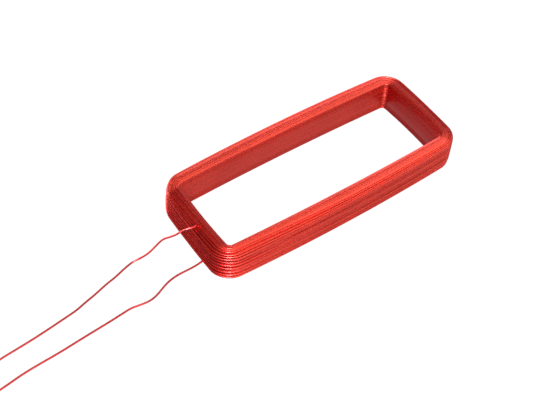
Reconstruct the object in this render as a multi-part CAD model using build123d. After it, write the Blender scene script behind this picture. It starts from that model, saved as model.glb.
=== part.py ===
"""Rectangular air-core antenna coil, self-bonding enamelled copper wire, 125 kHz class.

Frame, in millimetres: the origin is at the centre of the winding's underside.
+X runs along the long sides, +Z up through the window. Both leads leave at the -X end.

The whole coil is one length of wire. Its turns are bonded to each other, so they are one solid,
and the two free ends of the wire are the leads.
"""
import os
from math import radians, tan

from build123d import *

# ---- Wire ------------------------------------------------------------------------------------
wire_diameter = 0.32          # over the enamel and the bonding coat

# ---- Former that the coil was wound on, so the window of the finished coil ---------------------
window_length = 42.0          # at the corners, before the ends bow out
window_width = 14.4           # at the corners, before the sides bow out
window_corner_radius = 0.6
window_side_bow = 0.36        # how far a long side of the window stands out at its middle
window_end_bow = 0.25         # the same at the short ends

# ---- Winding ---------------------------------------------------------------------------------
winding_rows = 18             # turns side by side in a layer
row_pitch = 0.334             # the turns of a layer lie with a hair of varnish between them
side_build = 2.35             # stack of layers on the long sides, near the corners
end_build = 2.80              # stack of layers on the short ends
side_swell = 0.40             # the layers lie looser at the middle of a long side
outer_corner_radius = 3.6
outer_edge_radius = 0.80      # the last layers are narrower, so both outer rims are rounded
inner_edge_radius = wire_diameter / 2

winding_height = (winding_rows - 1) * row_pitch + wire_diameter
outer_length = window_length + 2 * end_build
outer_width = window_width + 2 * side_build
outer_side_bow = window_side_bow + side_swell
outer_end_bow = window_end_bow

# ---- Leads -----------------------------------------------------------------------------------
# Each route starts inside the winding, from the turn that the lead belongs to. Its places are
# given from the winding's -X end: out from the end face, across, and up.
end_face_x = -(outer_length / 2 + outer_end_bow)
lead_rest_height = wire_diameter / 2      # centre of a wire that lies on the table
largest_bend_share = 0.45                 # of the shorter run, used up by a bend
lead_root_depth = 0.30                    # how deep in the winding the lead's own solid begins

# The start lead rises from the top of the winding, crosses its outer rim and comes down to the table.
# Heights are from the winding's top for the first points, and from the table for the others.
start_lead_over_rim = [
    (-1.45, -1.36, -lead_root_depth),
    (-1.05, -1.42, 0.26),
    (-0.35, -1.58, 0.40),
    (0.50, -1.32, 0.36),
    (1.40, -0.92, 0.12),
    (2.30, -0.80, -0.45),
    (3.15, 0.00, -1.38),
    (3.95, 0.86, -2.30),
]
start_lead_to_table = [
    (5.05, 1.00, 2.66),
    (6.45, 1.12, 1.50),
    (7.70, 1.62, 0.58),
    (9.00, 1.92, 0.17),
    (10.70, 1.48, lead_rest_height),
    (12.50, 0.86, lead_rest_height),
    (14.40, 0.46, lead_rest_height),
    (16.60, -0.26, lead_rest_height),
    (18.70, -0.76, lead_rest_height),
    (20.30, -1.26, lead_rest_height),
    (22.60, -1.56, lead_rest_height),
    (25.20, -1.92, lead_rest_height),
    (27.90, -2.24, lead_rest_height),
    (30.60, -2.46, lead_rest_height),
    (33.40, -2.68, lead_rest_height),
    (36.40, -3.10, lead_rest_height),
    (39.40, -3.38, lead_rest_height),
    (42.60, -3.98, lead_rest_height),
]

# The finish lead leaves the last turn at the foot of the end face and stays on the table.
finish_lead_on_table = [
    (-0.70, -3.84, 0.30),
    (0.30, -3.99, 0.22),
    (1.50, -4.05, lead_rest_height),
    (2.90, -4.02, lead_rest_height),
    (4.40, -4.00, lead_rest_height),
    (5.90, -4.24, lead_rest_height),
    (7.30, -4.76, lead_rest_height),
    (8.70, -5.44, lead_rest_height),
    (10.10, -5.80, lead_rest_height),
    (11.60, -5.68, lead_rest_height),
    (13.20, -5.36, lead_rest_height),
    (14.90, -5.52, lead_rest_height),
    (17.20, -5.74, lead_rest_height),
    (19.90, -5.92, lead_rest_height),
    (22.90, -6.14, lead_rest_height),
    (25.90, -6.40, lead_rest_height),
    (28.90, -6.50, lead_rest_height),
    (31.90, -6.68, lead_rest_height),
    (34.70, -7.12, lead_rest_height),
    (37.60, -7.44, lead_rest_height),
    (40.60, -8.02, lead_rest_height),
    (43.60, -8.34, lead_rest_height),
]


def bowed_rectangle(length, width, side_bow, end_bow, corner_radius):
    """A rectangle whose four sides are shallow arcs that stand out at their middles."""
    x, y = length / 2, width / 2
    with_sides = [
        ThreePointArc((x, -y), (x + end_bow, 0), (x, y)),
        ThreePointArc((x, y), (0, y + side_bow), (-x, y)),
        ThreePointArc((-x, y), (-x - end_bow, 0), (-x, -y)),
        ThreePointArc((-x, -y), (0, -y - side_bow), (x, -y)),
    ]
    sharp = make_face(with_sides)
    return fillet(sharp.vertices(), corner_radius)


def make_winding():
    """The bonded block of turns: the outer outline less the window, with its rims rounded."""
    outside = extrude(
        bowed_rectangle(outer_length, outer_width, outer_side_bow, outer_end_bow, outer_corner_radius),
        amount=winding_height,
    )
    window = extrude(
        bowed_rectangle(window_length, window_width, window_side_bow, window_end_bow, window_corner_radius),
        amount=winding_height,
    )
    outer_rims = outside.faces().sort_by(Axis.Z)[0].edges() + outside.faces().sort_by(Axis.Z)[-1].edges()
    rounded = fillet(outer_rims, outer_edge_radius)
    ring = rounded - window
    inner_rims = [
        edge
        for face in (ring.faces().sort_by(Axis.Z)[0], ring.faces().sort_by(Axis.Z)[-1])
        for wire in face.inner_wires()
        for edge in wire.edges()
    ]
    return fillet(inner_rims, inner_edge_radius)


def placed(points, height_of_zero=0.0):
    """Route points given from the -X end face, as points of the part's frame."""
    return [Vector(end_face_x - out, across, height_of_zero + up) for out, across, up in points]


def bend_radii(points):
    """The largest bend that the two runs beside each point allow."""
    radii = []
    for before, corner, after in zip(points, points[1:], points[2:]):
        run_in, run_out = corner - before, after - corner
        half_turn = radians(run_in.get_angle(run_out)) / 2
        radii.append(largest_bend_share * min(run_in.length, run_out.length) / tan(half_turn))
    return radii


def make_lead(name, points, winding):
    """A round wire along straight runs joined by arcs, trimmed flush where it leaves the winding."""
    radii = bend_radii(points)
    path = FilletPolyline(*points, radius=radii)
    section = Plane(origin=path @ 0, z_dir=path % 0) * Circle(wire_diameter / 2)
    tube = sweep(section, path=path)
    ideal_volume = section.area * path.length
    print(f"{name}: {path.length:.2f} mm long, volume {tube.volume / ideal_volume:.4f} of section times length")
    print(f"{name}: bend radii", " ".join(f"{radius:.2f}" for radius in radii))
    free = (tube - winding).solids().sort_by(SortBy.VOLUME)[-1]
    return free


winding = make_winding()
start_lead = make_lead(
    "start_lead", placed(start_lead_over_rim, winding_height) + placed(start_lead_to_table), winding
)
finish_lead = make_lead("finish_lead", placed(finish_lead_on_table), winding)

os.makedirs("parts", exist_ok=True)
for node, shape in {
    "winding": winding,
    "start_lead": start_lead,
    "finish_lead": finish_lead,
}.items():
    export_step(shape, f"parts/{node}.step")
    box = shape.bounding_box()
    print(f"{node}: volume {shape.volume:.3f} mm3, from {box.min} to {box.max}")
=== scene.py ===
# %% [markdown]
# # A flat rectangular antenna coil of enamelled copper wire
# The real object is one long wire. Most of it is wound round a former in a flat rectangular ring,
# hot air or solvent makes the turns stick to each other, and the former is taken out. What is left
# is an air-core ring, about 48 mm long, with the two ends of the wire as leads.
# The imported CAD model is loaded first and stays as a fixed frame. The outer box is read from it, and
# the window and the build of the winding repeat its numbers. The absolute size is an estimate.

# %% Load the frame
import math

import bpy
import numpy as np
from mathutils import Matrix, Vector


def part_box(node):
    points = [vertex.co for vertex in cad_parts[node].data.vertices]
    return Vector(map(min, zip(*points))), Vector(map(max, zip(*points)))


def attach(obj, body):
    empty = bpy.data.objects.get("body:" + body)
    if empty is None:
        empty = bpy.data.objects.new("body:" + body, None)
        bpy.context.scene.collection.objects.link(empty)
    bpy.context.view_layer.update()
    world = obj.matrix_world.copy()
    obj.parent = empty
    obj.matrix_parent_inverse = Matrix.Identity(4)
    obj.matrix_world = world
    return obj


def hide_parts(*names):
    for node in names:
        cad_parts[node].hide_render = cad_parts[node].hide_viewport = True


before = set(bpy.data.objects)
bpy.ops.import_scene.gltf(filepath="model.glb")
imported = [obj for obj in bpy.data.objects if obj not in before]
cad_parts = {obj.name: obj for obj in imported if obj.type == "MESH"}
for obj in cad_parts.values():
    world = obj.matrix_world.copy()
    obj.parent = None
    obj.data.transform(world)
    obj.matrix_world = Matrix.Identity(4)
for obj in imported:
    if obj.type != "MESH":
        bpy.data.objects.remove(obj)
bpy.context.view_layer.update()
winding_low, winding_high = (np.array(corner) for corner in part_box("winding"))
MM = 0.001
print("winding, mm:", np.round((winding_high - winding_low) / MM, 2))

# %% [markdown]
# ## Camera
# The camera stands at the coil's near corner and looks down on it at about 51 degrees, through a
# short telephoto lens. Place and lens were fitted together to the coil's outline. The directions
# below are the camera's own right and up, and with back they make the whole turn in one matrix.

# %% Camera
camera_place = Vector((-0.072736, -0.085676, 0.133675))
camera_right = Vector((0.824750, -0.564461, 0.034221))
camera_up = Vector((0.421836, 0.654402, 0.627544))
camera_back = camera_right.cross(camera_up)

camera_data = bpy.data.cameras.new("camera")
camera_data.lens = 70.1
camera_data.sensor_width = 36.0
camera_data.clip_start = 0.01
camera = bpy.data.objects.new("camera", camera_data)
camera.matrix_world = Matrix.Translation(camera_place) @ Matrix(
    (camera_right, camera_up, camera_back)
).transposed().to_4x4()
bpy.context.scene.collection.objects.link(camera)
bpy.context.scene.camera = camera
print("camera to coil, m:", round(camera_place.length, 3))

# %% [markdown]
# ## Leads
# A lead is a free wire, modelled as 0.32 mm over its enamel; the real one may be thinner. It keeps
# the small bends that fingers and the winding machine left in it. A NURBS curve is the natural way
# to make it: the given points pull a smooth line towards them, and a round bevel gives the line
# its thickness. Each point is a place out from the end face, across, and up, in millimetres.

# %% Routes of the two leads
wire_diameter = 0.32           # an estimate, as thick as in the CAD model
wire_radius = wire_diameter / 2
end_face_x = winding_low[0] / MM
winding_top = winding_high[2] / MM

start_lead_over_rim = [
    (-1.45, -1.36, -0.30),
    (-1.05, -1.42, 0.26),
    (-0.35, -1.58, 0.40),
    (0.50, -1.32, 0.36),
    (1.40, -0.92, 0.12),
    (2.30, -0.80, -0.45),
    (3.15, 0.00, -1.38),
    (3.95, 0.86, -2.30),
]
start_lead_to_table = [
    (5.05, 1.00, 2.66),
    (6.45, 1.12, 1.50),
    (7.70, 1.62, 0.58),
    (9.00, 1.92, 0.17),
    (10.70, 1.48, wire_radius),
    (12.50, 0.86, wire_radius),
    (14.40, 0.46, wire_radius),
    (16.60, -0.26, wire_radius),
    (18.70, -0.76, wire_radius),
    (20.30, -1.26, wire_radius),
    (22.60, -1.56, wire_radius),
    (25.20, -1.92, wire_radius),
    (27.90, -2.24, wire_radius),
    (30.60, -2.46, wire_radius),
    (33.40, -2.68, wire_radius),
    (36.40, -3.10, wire_radius),
    (39.40, -3.38, wire_radius),
    (42.60, -3.98, wire_radius),
]
finish_lead_on_table = [
    (-0.70, -3.84, 0.30),
    (0.30, -3.99, 0.22),
    (1.50, -4.05, wire_radius),
    (2.90, -4.02, wire_radius),
    (4.40, -4.00, wire_radius),
    (5.90, -4.24, wire_radius),
    (7.30, -4.76, wire_radius),
    (8.70, -5.44, wire_radius),
    (10.10, -5.80, wire_radius),
    (11.60, -5.68, wire_radius),
    (13.20, -5.36, wire_radius),
    (14.90, -5.52, wire_radius),
    (17.20, -5.74, wire_radius),
    (19.90, -5.92, wire_radius),
    (22.90, -6.14, wire_radius),
    (25.90, -6.40, wire_radius),
    (28.90, -6.50, wire_radius),
    (31.90, -6.68, wire_radius),
    (34.70, -7.12, wire_radius),
    (37.60, -7.44, wire_radius),
    (40.60, -8.02, wire_radius),
    (43.60, -8.34, wire_radius),
]


def from_end_face(points, height_of_zero=0.0):
    """Places given out from the end face, across and up become points in the coil's frame, in mm."""
    out, across, up = np.array(points).T
    return np.column_stack([end_face_x - out, across, height_of_zero + up])


start_route = np.vstack([
    from_end_face(start_lead_over_rim, winding_top),
    from_end_face(start_lead_to_table),
])
finish_route = from_end_face(finish_lead_on_table)


# %% Lead curves
def lead_curve(name, route):
    """An open NURBS line of order 3 through its end points, pulled towards the others, with a
    round bevel."""
    curve = bpy.data.curves.new(name, "CURVE")
    curve.dimensions = "3D"
    curve.bevel_depth = wire_radius * MM
    curve.bevel_resolution = 4
    curve.use_fill_caps = True
    spline = curve.splines.new("NURBS")
    spline.points.add(len(route) - 1)
    spline.points.foreach_set("co", np.column_stack([route * MM, np.ones(len(route))]).ravel())
    spline.order_u = 3
    spline.use_endpoint_u = True
    spline.resolution_u = 8
    lead = bpy.data.objects.new(name, curve)
    bpy.context.scene.collection.objects.link(lead)
    return lead


start_lead = lead_curve("start_lead_wire", start_route)
finish_lead = lead_curve("finish_lead_wire", finish_route)

# %% [markdown]
# ## One turn of the winding
# The turns lie inside one another like the rings of a tree. The innermost follows the former, a
# rectangle with nearly sharp corners, and each turn outside it has rounder corners and longer sides
# that bow out a little. So one function of two numbers holds every turn: how far round the ring,
# and what share of the way from the window to the outside.

# %% Outline of a turn
window_half_length = 21.0
window_half_width = 7.2
end_build = 2.80
side_build = 2.35
window_corner, outer_corner = 0.6, 3.6
window_bow, outer_bow = 0.36, 0.76
end_bow = winding_high[0] / MM - window_half_length - end_build

points_on_side, points_on_end, points_on_corner = 28, 12, 12
# Eight stretches: an end, a corner, a side, a corner, and the same again.
stretch_points = [points_on_end, points_on_corner, points_on_side, points_on_corner] * 2
way_round = np.concatenate(
    [start + np.arange(count) / count for start, count in enumerate(stretch_points)]
)
stretch_ends = np.arange(9)


def outline(way, share):
    """Centre line of a turn. A corner's arc is carried from corner to corner of a smaller rectangle,
    and then each side is pushed out by a parabola that is widest at its middle."""
    half_length = window_half_length + end_build * share
    half_width = window_half_width + side_build * share
    radius = window_corner + (outer_corner - window_corner) * share
    side_bow = window_bow + (outer_bow - window_bow) * share
    way = np.mod(way, 8)
    angle = np.radians(np.interp(way, stretch_ends, [0, 0, 90, 90, 180, 180, 270, 270, 360]))
    to_end = np.interp(way, stretch_ends, [1, 1, 1, -1, -1, -1, -1, 1, 1])
    to_side = np.interp(way, stretch_ends, [-1, 1, 1, 1, 1, -1, -1, -1, -1])
    x = to_end * (half_length - radius) + radius * np.cos(angle)
    y = to_side * (half_width - radius) + radius * np.sin(angle)
    bowed_x = x + end_bow * x / half_length * (1 - (y / half_width) ** 2)
    bowed_y = y + side_bow * y / half_width * (1 - (x / half_length) ** 2)
    return bowed_x, bowed_y


# Where the flat inner turns end, as a share of the build, at stations round the ring. The outer
# turns climb on to the top at the corner beside the leads, and leave it to the inner ones at the next.
flat_end = 0.66
flat_end_round = np.interp(
    way_round,
    [0.0, 1.0, 2.0, 2.9, 3.2, 3.9, 4.1, 5.0, 5.3, 6.0, 6.2, 6.5, 7.0, 8.0],
    [0.66, 0.68, 0.72, 0.72, 0.78, 0.82, 0.80, 0.50, 0.42, 0.40, 0.50, 0.66, 0.68, 0.66],
)


def drawn_over(share):
    """Moves the border between the inner and the outer turns to its place, and the turns each side
    of it in proportion. The window's wall and the outer wall stay where they are."""
    inner = share / flat_end * flat_end_round
    outer = 1 - (1 - share) / (1 - flat_end) * (1 - flat_end_round)
    return np.where(share < flat_end, inner, outer)


# How far the outer turns fall inwards at the top, as a share of the build. They slipped most at one
# corner of the leads' end, and a little across the far end. What made them slip isn't known.
top_slip_round = np.interp(
    way_round,
    [0.0, 1.0, 1.6, 2.2, 2.9, 3.5, 4.2, 5.0, 7.0, 7.5, 8.0],
    [0.06, 0.06, 0.02, 0.00, 0.05, 0.20, 0.05, 0.00, 0.00, 0.02, 0.06],
)
slip_start_height = 2.4


def slipped(share, height, slip):
    """Draws outer turns inwards near the top. The shift grows with the power 1.5 of the height above
    slip_start_height, and with the cube of the share."""
    rise = np.clip((height - slip_start_height) / (winding_top - slip_start_height), 0, 1)
    return share - slip * rise ** 1.5 * share ** 3


print("points round a turn:", len(way_round))


# %% [markdown]
# ## From lines to wire
# A wire is a circle carried along its line. All rings of all turns are worked out in one array, and
# the faces come from the same grid, joined to itself both ways, so every turn is a closed tube.
# Real turns never lie quite still: each one wanders by a few hundredths of a millimetre, which is
# what breaks the highlights up. Waves that fit a whole number of times round the ring do this with
# no step where the turn closes.

# %% Wire and mesh helpers
rng = np.random.default_rng(48)
wire_sides = 10


def wander(turns, size, waves=7):
    """A smooth random shift along each turn: the sum of a few whole-number waves with random phases."""
    number = np.arange(1, waves + 1)
    phase = rng.uniform(0, 2 * math.pi, (turns, waves, 1))
    weight = rng.normal(0, 1, (turns, waves, 1)) / np.sqrt(number)[None, :, None]
    angle = 2 * math.pi * way_round / 8
    return size * (weight * np.cos(number[None, :, None] * angle + phase)).sum(axis=1)


def tube_rings(lines, radius):
    """Circles square to each closed line. One arm of the circle is level and the other nearly upright."""
    along = np.roll(lines, -1, axis=1) - np.roll(lines, 1, axis=1)
    along /= np.linalg.norm(along, axis=2, keepdims=True)
    level = np.cross(along, [0.0, 0.0, 1.0])
    level /= np.linalg.norm(level, axis=2, keepdims=True)
    upright = np.cross(level, along)
    angle = np.linspace(0, 2 * math.pi, wire_sides, endpoint=False)
    arms = level[:, :, None] * np.cos(angle)[:, None] + upright[:, :, None] * np.sin(angle)[:, None]
    return lines[:, :, None] + radius * arms


def grid_faces(rows, columns, close_rows=True):
    """Four-sided faces of a grid that closes on itself across, and along too if close_rows."""
    row = np.arange(rows if close_rows else rows - 1)[:, None]
    column = np.arange(columns)[None, :]
    next_row, next_column = (row + 1) % rows, (column + 1) % columns
    corners = (
        row * columns + column,
        next_row * columns + column,
        next_row * columns + next_column,
        row * columns + next_column,
    )
    return np.stack(np.broadcast_arrays(*corners), axis=-1).reshape(-1, 4)


# Painted shade and painted light round the ring: how bright the red is, from deep at 0 to bright at 1,
# at stations round the ring. The values are given one by one. It is painted deeper across the two ends
# and at the near corner, beneath its highlights, and brighter along the two sides, for the way light
# falls on the turns, which differs with the way they run. This is set by eye, and its cause is a
# guess: perhaps thicker varnish there.
painted_shade_round = np.interp(
    way_round,
    [0.0, 1.0, 1.5, 3.0, 3.5, 4.0, 5.0, 5.5, 6.0, 7.2, 8.0],
    [0.08, 0.08, 0.80, 0.78, 1.00, 0.02, 0.02, 0.00, 0.78, 0.95, 0.08],
)
tone_of_turn = 0.20
# Painted shade: the window's wall and the outer wall are painted a deeper red than the faces, and a sunk
# turn is painted darker the deeper it lies.
window_wall_painted_shade = -0.28
outer_wall_painted_shade = -0.20
sunk_painted_shade = 1.8


def smooth_mesh(name, vertices, faces, tone_and_shade):
    """A smooth-shaded piece from arrays. The number per vertex, which the finish reads, holds the painted
    shade and painted light, and for wire turns also a random tone of each turn.
    """
    mesh = bpy.data.meshes.new(name)
    mesh.from_pydata((vertices * MM).tolist(), [], faces.tolist())
    mesh.attributes.new("tone_and_shade", "FLOAT", "POINT").data.foreach_set("value", tone_and_shade)
    mesh.polygons.foreach_set("use_smooth", np.ones(len(faces), dtype=bool))
    mesh.validate()
    piece = bpy.data.objects.new(name, mesh)
    bpy.context.scene.collection.objects.link(piece)
    print(name, "faces:", len(faces))
    return piece


def wound_turns(name, shares, heights, wander_in=0.02, wander_up=0.02, on_face=False, painted_shade_shift=0.0):
    """Closed turns, one for each pair of share and height, as one piece. A share or a height may be one
    number for the whole turn, or a row of numbers, one for each point round it."""
    turns = len(shares)
    share = np.reshape(shares, (turns, -1)) + wander(turns, wander_in / end_build)
    if on_face:
        share = drawn_over(share)
    height = np.reshape(heights, (turns, -1)) + wander(turns, wander_up)
    x, y = outline(way_round[None, :], slipped(share, height, top_slip_round))
    lines = np.stack([x, y, height], axis=-1)
    rings = tube_rings(lines, wire_radius)
    points, sides = rings.shape[1:3]
    one_turn = grid_faces(points, sides)
    faces = (one_turn[None] + (np.arange(turns) * points * sides)[:, None, None]).reshape(-1, 4)
    # The colour number of each turn: the painted shade and painted light round the ring, the painted
    # shade given for this piece, and a random tone of its own.
    tone_and_shade = painted_shade_round + painted_shade_shift + tone_of_turn * rng.uniform(0, 1, (turns, 1))
    return smooth_mesh(name, rings.reshape(-1, 3), faces, np.repeat(tone_and_shade, sides))


# %% [markdown]
# ## The layers that show
# Only the turns at the surface can be seen, so only those are made as wire. The window's wall and
# the two flat faces were pressed against the former, so their turns lie in neat rows with varnish
# nearly to their crowns. Outside, the last layers are wound by hand and eye: they have fewer turns,
# some lie proud, some sink into the hollows of the layer below, and a few grooves stay open.

# %% Turns round the window, and on the two faces
row_pitch = 0.334
rows = 18
row_heights = wire_radius + row_pitch * np.arange(rows)
row_margin = 0.03              # keeps a wandering turn inside the winding's height
row_heights = np.clip(row_heights, wire_radius + row_margin, winding_top - wire_radius - row_margin)
innermost = 0.072
share_pitch = 0.118
face_shares = np.arange(innermost + share_pitch, flat_end, share_pitch)
top_inset, under_inset = 0.012, 0.012   # keep a wandering turn inside the winding's height

window_turns = wound_turns(
    "window_turns", [innermost] * rows, row_heights, 0.008, 0.012, painted_shade_shift=window_wall_painted_shade
)
top_heights = [winding_top - wire_radius - top_inset] * len(face_shares)
under_heights = [wire_radius + under_inset] * len(face_shares)
top_turns = wound_turns("top_turns", face_shares, top_heights, 0.02, 0.008, on_face=True)
under_turns = wound_turns("under_turns", face_shares, under_heights, 0.02, 0.006)

# %% The rounded rim
rim_radius = 0.80
groove_depth = 0.40
proud_depth = wire_radius + 0.02
sunk_depth = 0.44


def rim(depth, angle_degrees):
    """Places on the rounded rim: a quarter circle of the rim's radius less the depth of the wire's
    centre. The angle is 0 at the flat face and 90 at the outer wall."""
    angle = np.radians(angle_degrees)
    reach = rim_radius - depth
    share = 1 - (rim_radius - reach * np.sin(angle)) / end_build
    height = winding_top - rim_radius + reach * np.cos(angle)
    return share, height


sunk_share, sunk_height = rim(sunk_depth, np.array([5.0, 55.0]))
groove_turns = wound_turns(
    "groove_turns",
    np.append(sunk_share, 0.70),
    np.append(sunk_height, winding_top - wire_radius - groove_depth),
    0.02,
    0.02,
    on_face=True,
)
proud_share, proud_height = rim(proud_depth, np.array([6.0, 36.0, 66.0]))
rim_turns = wound_turns("rim_turns", proud_share, proud_height, 0.010, 0.020, on_face=True)

# %% Last turns, proud and sunk
# Height of each turn on the outer wall, and how far its crown lies under the outer face at the corners
# and ends, and along the sides, where the pull of the wire packs the turns closer.
last_rows = np.array([
    (0.82, 0.22, 0.27),
    (1.18, 0.03, 0.03),
    (1.58, 0.22, 0.05),
    (1.98, 0.03, 0.02),
    (2.40, 0.26, 0.28),
    (2.84, 0.03, 0.04),
    (3.22, 0.22, 0.09),
    (3.62, 0.03, 0.03),
    (4.00, 0.26, 0.10),
    (4.38, 0.02, 0.26),
    (4.78, 0.16, 0.02),
    (5.12, 0.02, 0.06),
])
packed_round = np.interp(
    way_round,
    [0.0, 1.0, 2.2, 2.8, 4.0, 5.0, 6.0, 6.25, 6.8, 7.4, 8.0],
    [0, 0, 1, 1, 0, 0, 0, 1, 1, 0, 0],
)
loose_depth, packed_depth = last_rows[:, 1:2], last_rows[:, 2:3]
last_depth = loose_depth + (packed_depth - loose_depth) * packed_round
foot_share, foot_height = rim(proud_depth, np.array([19.0, 51.0]))
# Painted shade in the hollows: each last turn is painted darker in proportion to how deep it lies under
# the outer face.
sunk_painted_shade_shift = -sunk_painted_shade * last_depth.mean(axis=1)
foot_tone_shift = np.zeros(len(foot_share))
last_turns = wound_turns(
    "last_turns",
    np.vstack([1 - (wire_radius + last_depth) / end_build, np.tile(foot_share[:, None], len(way_round))]),
    np.append(last_rows[:, 0], winding_top - foot_height),
    0.010,
    0.022,
    painted_shade_shift=np.append(sunk_painted_shade_shift, foot_tone_shift)[:, None],
)

# %% [markdown]
# ## Bonding varnish between the turns
# The coat that glues the turns fills the valleys between them. One closed ring a little inside the
# surface stands for it and for all the turns that no one can see. Its section is a list of places,
# and each sharp corner is two places close together, so that smooth shading doesn't round it away.

# %% Bonded core
film_depth = 0.042
loose_film_depth, packed_film_depth = 0.24, 0.10
bed_depth = 0.40
window_film_depth = 0.062
film_share = window_film_depth / end_build
outer_film_share = 1 - loose_film_depth / end_build
bed_share = 1 - bed_depth / end_build
grooves = np.array([0.82, 2.40, 4.22])
groove_half_width, groove_slope = 0.17, 0.04
edge_drop = 0.03
groove_steps = np.array([
    (outer_film_share, -groove_half_width - groove_slope),
    (bed_share, -groove_half_width),
    (bed_share, groove_half_width),
    (outer_film_share, groove_half_width + groove_slope),
])
face_section = np.array([
    (film_share, winding_top / 2),
    (film_share, winding_top - film_depth - edge_drop),
    (film_share + 0.012, winding_top - film_depth),
    (0.655, winding_top - film_depth),
    (0.672, winding_top - film_depth - edge_drop),
    (0.690, winding_top - 0.42),
    (0.720, winding_top - 0.44),
    (bed_share - 0.10, winding_top - 0.30),
    (outer_film_share - 0.09, winding_top - 0.34),
    (outer_film_share, winding_top - 0.80),
])
foot_section = face_section[:0:-1] * [1, -1] + [0, winding_top]
wall_section = groove_steps[None] + grooves[::-1, None, None] * [0, 1]
wall_section = wall_section[:, ::-1].reshape(-1, 2)
core_section = np.vstack([face_section, wall_section, foot_section])
core_share = np.where(
    core_section[:, 1] > winding_top / 2, drawn_over(core_section[None, :, 0].T).T, core_section[:, 0]
)
film_swell = (loose_film_depth - packed_film_depth) / end_build * packed_round[:, None]
core_share = core_share + np.where(np.isclose(core_section[:, 0], outer_film_share), film_swell, 0)
core_share = slipped(core_share, core_section[:, 1], top_slip_round[:, None])
core_x, core_y = outline(way_round[:, None], core_share)
core_z = np.broadcast_to(core_section[None, :, 1], core_x.shape)
core_points = np.stack([core_x, core_y, core_z], axis=-1)
# Painted shade: the varnish at the window's wall and at the outer wall is painted darker, like the turns
# there.
core_painted_shade = np.select(
    [core_section[:, 0] < 0.05, core_section[:, 0] > 0.85], [window_wall_painted_shade, outer_wall_painted_shade], 0.0
)
core = smooth_mesh(
    "bonded_core",
    core_points.reshape(-1, 3),
    grid_faces(len(way_round), len(core_section)),
    (painted_shade_round[:, None] + core_painted_shade).ravel(),
)


# %% [markdown]
# ## Finishes
# The wire is bare copper with a dyed, see-through enamel, baked on in thin coats, and a last coat
# that melts to bond the turns. Light goes through the enamel, comes back off the copper and goes
# through it again, so it is a red metal. The enamel's own surface adds a thin white gloss on top.

# %% Node and colour helpers
def srgb(hex_colour):
    """A colour written as in a paint chart, turned into the linear light that Blender works in."""
    parts = np.array([int(hex_colour[i:i + 2], 16) for i in (0, 2, 4)]) / 255
    linear = np.where(parts <= 0.04045, parts / 12.92, ((parts + 0.055) / 1.055) ** 2.4)
    return (*linear, 1.0)


def node(tree, kind, settings=None, **inputs):
    """Adds a node. Inputs are values or other nodes' outputs. An _ in a name stands for a space, and
    _ with a number is the socket with that number."""
    made = tree.nodes.new(kind)
    for key, value in (settings or {}).items():
        setattr(made, key, value)
    for key, value in inputs.items():
        by_number = key[1:].isdigit()
        socket = made.inputs[int(key[1:]) if by_number else key.replace("_", " ")]
        if isinstance(value, bpy.types.NodeSocket):
            tree.links.new(value, socket)
        else:
            socket.default_value = value
    return made


def new_material(name):
    material = bpy.data.materials.new(name)
    material.use_nodes = True
    tree = material.node_tree
    tree.nodes.clear()
    return material, tree


# %% Enamelled copper
patch_scale = 180.0            # repeats in a metre: patches of dye about 5.5 mm across


def enamelled_copper(name, deep, bright, roughness):
    """Copper under red enamel: a metal whose red is deeper on some turns than on others, partly at random
    and partly as painted shade and painted light, read from the number per vertex.
    """
    material, tree = new_material(name)
    place = node(tree, "ShaderNodeTexCoord").outputs["Object"]
    tone_and_shade = node(tree, "ShaderNodeAttribute", {"attribute_name": "tone_and_shade"}).outputs["Fac"]
    noise = node(tree, "ShaderNodeTexNoise", None, Vector=place, Scale=patch_scale, Detail=3.0)
    patches = noise.outputs["Fac"]
    darker = node(tree, "ShaderNodeMath", {"operation": "SUBTRACT"}, _0=tone_and_shade, _1=0.15)
    total = node(
        tree, "ShaderNodeMath", {"operation": "MULTIPLY_ADD"}, _0=patches, _1=0.30, _2=darker.outputs[0]
    )
    colour = node(
        tree, "ShaderNodeMix", {"data_type": "RGBA"}, _0=total.outputs[0], _6=srgb(deep), _7=srgb(bright)
    ).outputs[2]
    shader = node(
        tree, "ShaderNodeBsdfPrincipled", None,
        Base_Color=colour, Metallic=1.0, Roughness=roughness,
        Specular_Tint=srgb("FFB0AC"), Coat_Weight=0.46, Coat_Roughness=0.23, Coat_IOR=1.55,
    )
    node(tree, "ShaderNodeOutputMaterial", None, Surface=shader.outputs[0])
    return material


turn_copper = enamelled_copper("enamelled_copper_turns", "A81812", "F04C3C", 0.42)
lead_copper = enamelled_copper("enamelled_copper_lead", "D83A3C", "F0504C", 0.34)

turn_pieces = [window_turns, top_turns, under_turns, groove_turns, rim_turns, last_turns]
for piece in turn_pieces:
    piece.data.materials.append(turn_copper)
core.data.materials.append(turn_copper)
for lead in (start_lead, finish_lead):
    lead.data.materials.append(lead_copper)

# %% [markdown]
# ## Table and light
# The coil lies on plain white. The table shows white to the camera and in reflections, and keeps
# a trace of the coil's shadow.

# %% Table
table_half = 1.5
table_mesh = bpy.data.meshes.new("table")
table_mesh.from_pydata(
    [
        (-table_half, -table_half, 0),
        (table_half, -table_half, 0),
        (table_half, table_half, 0),
        (-table_half, table_half, 0),
    ],
    [],
    [(0, 1, 2, 3)],
)
table = bpy.data.objects.new("table", table_mesh)
bpy.context.scene.collection.objects.link(table)
table_paint, table_tree = new_material("white_table")
rays = node(table_tree, "ShaderNodeLightPath").outputs
seen = node(
    table_tree, "ShaderNodeMath", {"operation": "ADD", "use_clamp": True},
    _0=rays["Is Camera Ray"], _1=rays["Is Glossy Ray"],
)
seen_or_through = node(
    table_tree, "ShaderNodeMath", {"operation": "ADD", "use_clamp": True},
    _0=seen.outputs[0], _1=rays["Is Transmission Ray"],
)
shadow_share = 0.05
glow_in_reflections = 0.66
glow = node(
    table_tree, "ShaderNodeMath", {"operation": "MULTIPLY_ADD"},
    _0=rays["Is Camera Ray"], _1=1 - glow_in_reflections, _2=glow_in_reflections,
)
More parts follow.
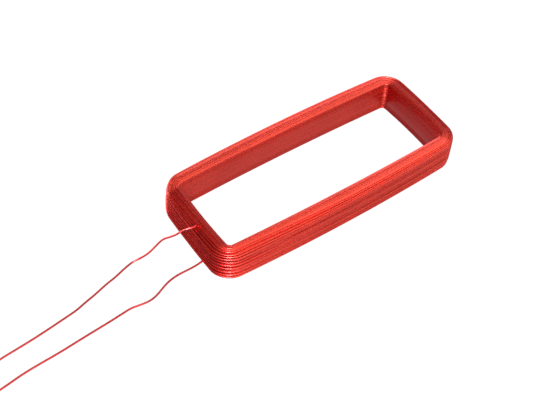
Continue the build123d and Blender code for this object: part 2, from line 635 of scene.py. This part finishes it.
table_diffuse = node(table_tree, "ShaderNodeBsdfDiffuse", None, Color=srgb("F4F4F4"))
table_glow = node(table_tree, "ShaderNodeEmission", None, Color=(1, 1, 1, 1), Strength=glow.outputs[0])
table_share = node(
    table_tree, "ShaderNodeMath", {"operation": "MULTIPLY"},
    _0=seen_or_through.outputs[0], _1=1 - shadow_share,
)
table_mix = node(
    table_tree, "ShaderNodeMixShader", None,
    _0=table_share.outputs[0], _1=table_diffuse.outputs[0], _2=table_glow.outputs[0],
)
node(table_tree, "ShaderNodeOutputMaterial", None, Surface=table_mix.outputs[0])
table_mesh.materials.append(table_paint)


# %% Lights
lamp_reach = 0.8
day_white, window_warm = (0.98, 0.97, 1.0), (1.0, 0.94, 0.72)


def soft_lamp(name, compass, elevation, size, power, colour=day_white):
    """A square lamp that faces the coil. compass is degrees round from +X, and elevation is degrees
    above the table."""
    around, above = math.radians(compass), math.radians(elevation)
    towards = Vector(
        (math.cos(above) * math.cos(around), math.cos(above) * math.sin(around), math.sin(above))
    )
    lamp_data = bpy.data.lights.new(name, "AREA")
    lamp_data.shape = "SQUARE"
    lamp_data.size = size
    lamp_data.energy = power
    lamp_data.color = colour
    lamp = bpy.data.objects.new(name, lamp_data)
    lamp.location = towards * lamp_reach
    lamp.rotation_euler = towards.to_track_quat("Z", "Y").to_euler()
    bpy.context.scene.collection.objects.link(lamp)
    return lamp


softbox = 0.42
soft_lamp("softbox_front_low", 270, 12, softbox, 1.3)
soft_lamp("softbox_front_right", 330, 35, softbox, 0.7)
soft_lamp("softbox_right_high", 0, 60, softbox, 1.05, window_warm)
soft_lamp("softbox_back_right", 30, 35, softbox, 0.65)
soft_lamp("softbox_back_right_low", 60, 12, softbox, 1.5)
soft_lamp("softbox_back_left", 120, 12, softbox, 4.1)
soft_lamp("softbox_top", 120, 82, softbox, 1.02, window_warm)
soft_lamp("lamp_by_camera", 229.7, 49.9, 0.25, 16.0)

world = bpy.data.worlds.new("room")
bpy.context.scene.world = world
world.use_nodes = True
world.node_tree.nodes.clear()
room_light = 0.03
sight = node(world.node_tree, "ShaderNodeLightPath").outputs["Is Camera Ray"]
room_glow = node(
    world.node_tree, "ShaderNodeMath", {"operation": "MULTIPLY_ADD"},
    _0=sight, _1=1 - room_light, _2=room_light,
)
room_walls = node(
    world.node_tree, "ShaderNodeBackground", None, Color=(1, 1, 1, 1), Strength=room_glow.outputs[0]
)
node(world.node_tree, "ShaderNodeOutputWorld", None, Surface=room_walls.outputs[0])
bpy.context.scene.view_settings.view_transform = "Standard"

# %% [markdown]
# ## Hand the pieces over
# Every piece rides on the coil's one body. The wire and the varnish together stand for the
# winding's CAD solid, and each lead for its own.

# %% Ride, replace and finish
for piece in turn_pieces + [core]:
    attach(piece, "root")
    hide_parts("winding")
for lead, cad_node in ((start_lead, "start_lead"), (finish_lead, "finish_lead")):
    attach(lead, "root")
    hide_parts(cad_node)
